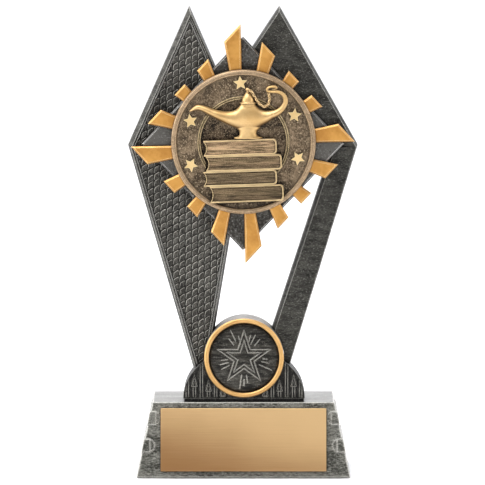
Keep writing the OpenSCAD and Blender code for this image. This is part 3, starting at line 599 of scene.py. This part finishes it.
cut_off(bm, Vector((0, FIELD_FOOT)), Vector((0, -1)))
sheet = [field[0], field[1]]
for a, b in ((field[1], field[2]), (field[2], field[3])):
    t = (FIELD_FOOT - a.y) / (b.y - a.y)
    sheet.append(a + t * (b - a))
sheet.append(field[3])
skin(bm, [[(p.x, y, p.y) for p in sheet] for y in (field_back, field_back - GROUND - 0.02)])
cast("snake_scales", bm, scale_silver, "scale_silver", "scale_panel")


# ---- Diamond and sunburst ----
# A thin diamond plate with bright bevels is pinned to both blades, and a flat gold
# sunburst of sixteen clipped rays lies on it.

# The diamond gets a painted sheen, paler towards its left and right corners.
diamond_silver = antique("diamond_silver", tone(44, 42, 38), tone(86, 84, 80),
                         tone(214, 213, 211), wear=1.5, painted_side_sheen=21)
dress("diamond_plate", diamond_silver, 0.1)
ray_gold = gold("ray_gold", tone(171, 121, 60), tone(196, 145, 76), tone(234, 206, 154),
                fleck_size=1.0, crisp=0.5)
dress("sunburst", ray_gold, 0.1)


# ---- Medallion ----
# A cast disc in antique bronze with a stippled ground. Its raised rim and the double ring
# inside it are rubbed paler. It is dowelled to the sunburst's hub.

disc_low, disc_high = span("medallion_disc")
disc = (disc_low + disc_high) / 2
ring_low, ring_high = span("inner_ring")
ring_radius = (ring_high.x - ring_low.x) / 2
# The ground gets painted light: paler above and outside the double ring and darker towards the
# bottom.
medal_bronze = antique("medal_bronze", tone(22, 17, 12), tone(134, 115, 92),
                       tone(204, 182, 150), contrast=1.6, grain=0.08, brushed=0.9, marks=1.6,
                       painted_light_halo=(disc.x, disc.z, ring_radius))
rim_bronze = antique("rim_bronze", tone(112, 94, 73), tone(154, 131, 105),
                     tone(222, 194, 154), contrast=0.8, brushed=0.15, wear=1.2)
ring_bronze = antique("ring_bronze", tone(90, 76, 54), tone(150, 130, 98), tone(212, 190, 148))
dress("medallion_disc", medal_bronze)
dress("medallion_rim", rim_bronze, 0.1)
dress("inner_ring", ring_bronze, 0.06)


# ---- Books ----
# Four closed books in antique bronze, cast in one with the disc. Boards and round spines
# are rubbed bright, and the hollow fore-edges face left. The top book is painted lighter
# and the lower ones darker, as painted light falling from above.

def slab(bm, outline, rear, front, soft, wear):
    """A plate in the front view, with softly rounded front edges."""
    profile = [(0, rear), (0, front + soft)]
    profile += [(soft * (1 - math.cos(a)), front + soft * (1 - math.sin(a)))
                for a in (math.pi / 6, math.pi / 3, math.pi / 2)]
    rings = [[(p.x, y, p.y) for p in inset(outline, d)] for d, y in profile]
    skin(bm, rings, [0, wear * 0.5, wear, wear, wear * 0.7])


def block_end(left, right, low, high, radius, steps=6):
    """The right-hand side of a bound block, with round corners, from below to above."""
    path = []
    for middle, first in ((low + radius, -90), (high - radius, 0)):
        for k in range(steps + 1):
            a = math.radians(first + 90 * k / steps)
            path.append(Vector((right - radius + radius * math.cos(a),
                                middle + radius * math.sin(a))))
    return path


# Left side, right side and thickness, from the lowest book upwards
BOOKS = ((-12.4, 15.1, 6.2), (-14.6, 12.8, 5.6), (-13.5, 14.8, 5.75), (-14.2, 13.1, 5.8))
BOARD, BOARD_ROUND, BOARD_WEAR, SPINE_ROUND = 0.55, 0.14, 0.9, 1.3
LEAVES, HOLLOW, PAGE_SETBACK, PAGE_SINK, PAGE_ROUND = 10, 0.8, 0.4, 0.35, 0.08
FORE_EDGE_WIDTH, FORE_EDGE_RISE, FORE_EDGE_WEAR = 0.34, 0.3, 0.7
STACK_FOOT, STACK_LEAN = 103.7, math.radians(2)
# Painted light: how bright each book's paint is, from the lowest book upwards, the top book
# lightest, as lit and shaded copies of one bronze.
BOOK_PAINTED_LIGHT = (0.67, 0.67, 0.87, 1.27)
book_front, book_back = (corner.y for corner in span("book_1"))
leaning = Matrix.Translation((0, 0, STACK_FOOT * MM)) @ Matrix.Rotation(-STACK_LEAN, 4, "Y")

dice = random.Random(3)
foot = 0.0
for number, (left, right, thick) in enumerate(BOOKS):
    low, high = foot, foot + thick
    foot = high
    shade = BOOK_PAINTED_LIGHT[number]
    book_bronze = antique(f"book_bronze_{4 - number}", tone(46 * shade, 37 * shade, 26 * shade),
                          tone(150 * shade, 124 * shade, 96 * shade),
                          tone(210, 184, 138), streaks=(0.16, 1, 3), contrast=1.6, wear=0.3,
                          brushed=0.2)
    bm = bmesh.new()
    outer = [Vector((left, low))] + block_end(left, right, low, high, SPINE_ROUND)
    outer.append(Vector((left, high)))
    inner = block_end(left, right - BOARD, low + BOARD, high - BOARD, SPINE_ROUND - BOARD / 2)
    cover = outer + [Vector((left + 0.1, high - BOARD))] + inner[::-1]
    cover.append(Vector((left + 0.1, low + BOARD)))
    slab(bm, cover, book_back, book_front, BOARD_ROUND, BOARD_WEAR)
    start_x, page_low = left + PAGE_SETBACK, low + BOARD
    leaf = (high - low - 2 * BOARD) / LEAVES
    for k in range(LEAVES):
        t = 2 * (k + 0.5) / LEAVES - 1
        x0 = start_x + HOLLOW * (1 - t * t) + dice.uniform(-0.06, 0.06)
        x1 = right - BOARD - 0.1 - (0.5 if k in (0, LEAVES - 1) else 0.0)
        y = book_front + PAGE_SINK + dice.uniform(-0.1, 0.1)
        z0, z1 = page_low + k * leaf, page_low + (k + 1) * leaf
        page = [Vector(p) for p in ((x0, z0), (x1, z0), (x1, z1), (x0, z1))]
        slab(bm, page, book_back, y, PAGE_ROUND, dice.uniform(0.0, 0.22))
    curve = [(start_x + HOLLOW * (1 - t * t), page_low + (1 + t) / 2 * leaf * LEAVES)
             for t in (-1, -0.6, -0.2, 0.2, 0.6, 1)]
    for a, b in zip(curve, curve[1:]):
        ridge_bar(bm, *a, *b, FORE_EDGE_WIDTH, FORE_EDGE_RISE, book_front + 0.3,
                  FORE_EDGE_WEAR)
    bm.transform(leaning)
    cast(f"bound_book_{4 - number}", bm, book_bronze, "book_bronze", f"book_{4 - number}")


# ---- Lamp ----
# A cast oil lamp painted bright gold, with a lid, a knob, a curled handle and a small
# chain. All of it is cast fast to the disc above the books.

def smooth(path, steps):
    """A smooth run of values through a list of equal tuples."""
    run = []
    for i in range(len(path) - 1):
        a, b, c, d = (Vector(path[min(max(i + k, 0), len(path) - 1)]) for k in (-1, 0, 1, 2))
        for k in range(steps):
            t = k / steps
            run.append(0.5 * (2 * b + (c - a) * t + (2 * a - 5 * b + 4 * c - d) * t * t
                              + (3 * b - a - 3 * c + d) * t ** 3))
    return run + [Vector(path[-1])]


def half_round(centre, half, depth, upright):
    """Half an ellipse with its flat side on the lamp's back, upright or lying."""
    ring = []
    for k in range(19):
        a = math.pi * k / 18
        across, forward = half * math.cos(a), -depth * math.sin(a) ** 0.85
        at = (centre[0], forward, centre[1] + across) if upright else (
            centre[0] + across, forward, centre[1])
        ring.append(lamp_origin + Vector(at))
    return ring


def tube(bm, path, lift, sides):
    """A round bar along (x, z, radius), its middle `lift` in front of the lamp's back."""
    rings = []
    for i, (x, z, radius) in enumerate(path):
        ahead, behind = path[min(i + 1, len(path) - 1)], path[max(i - 1, 0)]
        way = Vector((ahead[0] - behind[0], ahead[1] - behind[1])).normalized()
        rings.append([lamp_origin + Vector((x - way.y * radius * math.cos(a),
                                            -lift - radius * math.sin(a),
                                            z + way.x * radius * math.cos(a)))
                      for a in (math.tau * k / sides for k in range(sides))])
    skin(bm, rings)


def blend_shells(piece, voxel, turns):
    """Melts the shells of a piece into one casting with soft fillets."""
    remesh = piece.modifiers.new("one_casting", "REMESH")
    remesh.mode, remesh.voxel_size, remesh.use_smooth_shade = "VOXEL", voxel * MM, True
    melt = piece.modifiers.new("fillets", "SMOOTH")
    melt.iterations, melt.factor = turns, 0.5


# The lamp gets strong painted shade in brown on its underside.
lamp_gold = gold("lamp_gold", tone(190, 155, 102), tone(208, 175, 124), tone(228, 202, 158),
                 rough=0.42, under=0.85)

# Place along the lamp, underside and top
LAMP_BODY = ((-21.9, 10.1, 10.3), (-21.1, 10.1, 11.2), (-19.3, 10.6, 12.6),
             (-17.5, 10.3, 12.6), (-15.4, 9.2, 12.1), (-12.4, 7.6, 11), (-8.6, 5.7, 10.3),
             (-6.2, 4.6, 10.4), (-4.6, 4.0, 10.9), (-3.5, 3.7, 11.9), (-2.4, 3.4, 12.9),
             (0, 3.2, 13.1), (2.4, 3.6, 12.9), (3.5, 4.1, 11.9), (4.8, 4.8, 11),
             (6.4, 5.6, 10.6), (7.7, 6.3, 10.6), (9.7, 7.9, 10.8))
# Height and half width
LAMP_FOOT = ((0, 5.2), (0.35, 5.3), (0.65, 5.1), (0.8, 4.3), (1.3, 3.5), (2.0, 3.2),
             (2.9, 3.4), (3.8, 4.2), (4.8, 4.6))
LAMP_NECK = ((9.5, 2.2), (10.8, 2.9), (12, 2.9), (13.1, 2.8))
LAMP_LID = ((13.1, 2.8), (13.25, 3.05), (13.55, 3.0), (13.7, 2.35), (14.4, 2.3), (15.5, 1.95),
            (16.5, 1.35), (17.3, 0.8), (17.75, 0.4))
# Place along the lamp, height and radius
HANDLE = ((8.6, 9.0, 1.4), (9.9, 9.4, 1.35), (11.8, 10.5, 1.15), (13.4, 12.4, 0.95),
          (14.0, 14.4, 0.85), (13.2, 16.4, 0.75), (11.3, 17.5, 0.62), (9.0, 17.6, 0.52),
          (7.5, 17.75, 0.46), (7.05, 18.5, 0.44), (7.7, 19.25, 0.44), (9.0, 19.5, 0.46),
          (10.2, 19.45, 0.46), (10.6, 18.95, 0.34), (9.9, 18.65, 0.24), (9.1, 18.7, 0.12))
# Place along the lamp and height
CHAIN = ((0.1, 18.35), (1.45, 17.5), (2.85, 15.1), (4.4, 13.0), (6.2, 12.05), (7.5, 13.0),
         (7.95, 15.0), (7.7, 17.0))
LAMP_DEPTH, NECK_DEPTH, LID_DEPTH = 2.9, 2.15, 2.6
HANDLE_LIFT, CHAIN_LIFT = 1.35, 1.15
KNOB_MIDDLE, KNOB_RADIUS = Vector((-0.25, -0.7, 18.45)), 0.68
STALK_MIDDLE, STALK_LONG, STALK_FOOT, STALK_TOP = Vector((0.15, 0, -0.75)), 1.1, 0.55, 0.3
LINK_PITCH, LINK_LONG, LINK_WIDE, WIRE = 0.98, 0.5, 0.4, 0.27
LINK_ROLL = math.radians(50)
bowl_low = span("lamp_bowl")[0]
lamp_origin = Vector((bowl_low.x - LAMP_BODY[0][0], span("lamp_lid")[1].y, bowl_low.z))

bm = bmesh.new()
body = smooth(LAMP_BODY, 6)
skin(bm, [half_round((x, (low + high) / 2), (high - low) / 2,
                     min(LAMP_DEPTH, 0.8 * (high - low)), True) for x, low, high in body])
for outline in (LAMP_FOOT, LAMP_NECK):
    skin(bm, [half_round((0, z), half, min(half, NECK_DEPTH), False)
              for z, half in smooth(outline, 5)])
blend_shells(cast("lamp_body", bm, lamp_gold, "lamp_gold", "lamp_bowl"), voxel=0.14, turns=4)

bm = bmesh.new()
skin(bm, [half_round((0, z), half, min(half, LID_DEPTH), False)
          for z, half in smooth(LAMP_LID, 5)])
cast("lamp_cover", bm, lamp_gold, "lamp_gold", "lamp_lid", angle=60)

bm = bmesh.new()
knob = lamp_origin + KNOB_MIDDLE
bmesh.ops.create_uvsphere(bm, u_segments=24, v_segments=16, radius=KNOB_RADIUS * MM,
                          matrix=Matrix.Translation(knob * MM))
bmesh.ops.create_cone(bm, cap_ends=True, segments=20, radius1=STALK_FOOT * MM,
                      radius2=STALK_TOP * MM, depth=STALK_LONG * MM,
                      matrix=Matrix.Translation((knob + STALK_MIDDLE) * MM))
cast("lamp_knob", bm, lamp_gold, "lamp_gold", "lamp_finial")

bm = bmesh.new()
tube(bm, smooth(HANDLE, 6), HANDLE_LIFT, 14)
cast("lamp_scroll", bm, lamp_gold, "lamp_gold", "lamp_handle", angle=60)

bm = bmesh.new()
line = smooth(CHAIN, 24)
travelled, next_link, number = 0.0, 0.0, 0
for a, b in zip(line, line[1:]):
    travelled += (b - a).length
    if travelled < next_link:
        continue
    next_link += LINK_PITCH
    number += 1
    way = (b - a).normalized()
    along = Matrix(((way.x, 0, -way.y), (0, 1, 0), (way.y, 0, way.x))).to_4x4()
    rolled = along @ Matrix.Rotation(LINK_ROLL if number % 2 else -LINK_ROLL, 4, "X")
    middle = lamp_origin + Vector((b.x, -CHAIN_LIFT, b.y))
    rows = []
    for i in range(14):
        t = math.tau * i / 14
        hub = Vector((LINK_LONG * math.cos(t), 0, LINK_WIDE * math.sin(t)))
        out = Vector((math.cos(t), 0, math.sin(t)))
        rows.append([middle + rolled @ (hub + WIRE * (math.cos(c) * out
                                                      + math.sin(c) * Vector((0, 1, 0))))
                     for c in (math.tau * k / 8 for k in range(8))])
    skin(bm, rows + [rows[0]], capped=False)
bmesh.ops.remove_doubles(bm, verts=bm.verts, dist=1e-7)
cast("chain_links", bm, lamp_gold, "lamp_gold", "lamp_chain")


# ---- Stars ----
# Five small stars, cast with the disc and painted a paler gold than the lamp. They stand
# round the lamp and the books on the medallion's ground.

star_gold = gold("star_gold", tone(202, 172, 118), tone(218, 190, 138), tone(240, 220, 172))
dress("relief_stars", star_gold, 0.12)


# ---- Fixings ----
# Steel dowels pin the plates and the cup. Two steel screws with washers come up through
# the plinth into brass inserts in the foot.

def turned_metal(name, low, high, rough):
    """Bare metal with fine turning marks round its length."""
    material, start = new_finish(name)
    turning = noise(start, 6.0, 2.0, 0.5, (1, 1, 5))
    return close_finish(material, {"Base Color": turning.tint(low, high), "Metallic": 1.0,
                                   "Roughness": rough + 0.15 * turning})


steel = turned_metal("steel", tone(150, 152, 156), tone(196, 198, 202), 0.28)
brass = turned_metal("brass", tone(176, 140, 66), tone(208, 172, 92), 0.3)
for part in ("plate_dowels", "hub_dowels", "assembly_screws", "screw_washers"):
    dress(part, steel)
dress("threaded_inserts", brass)
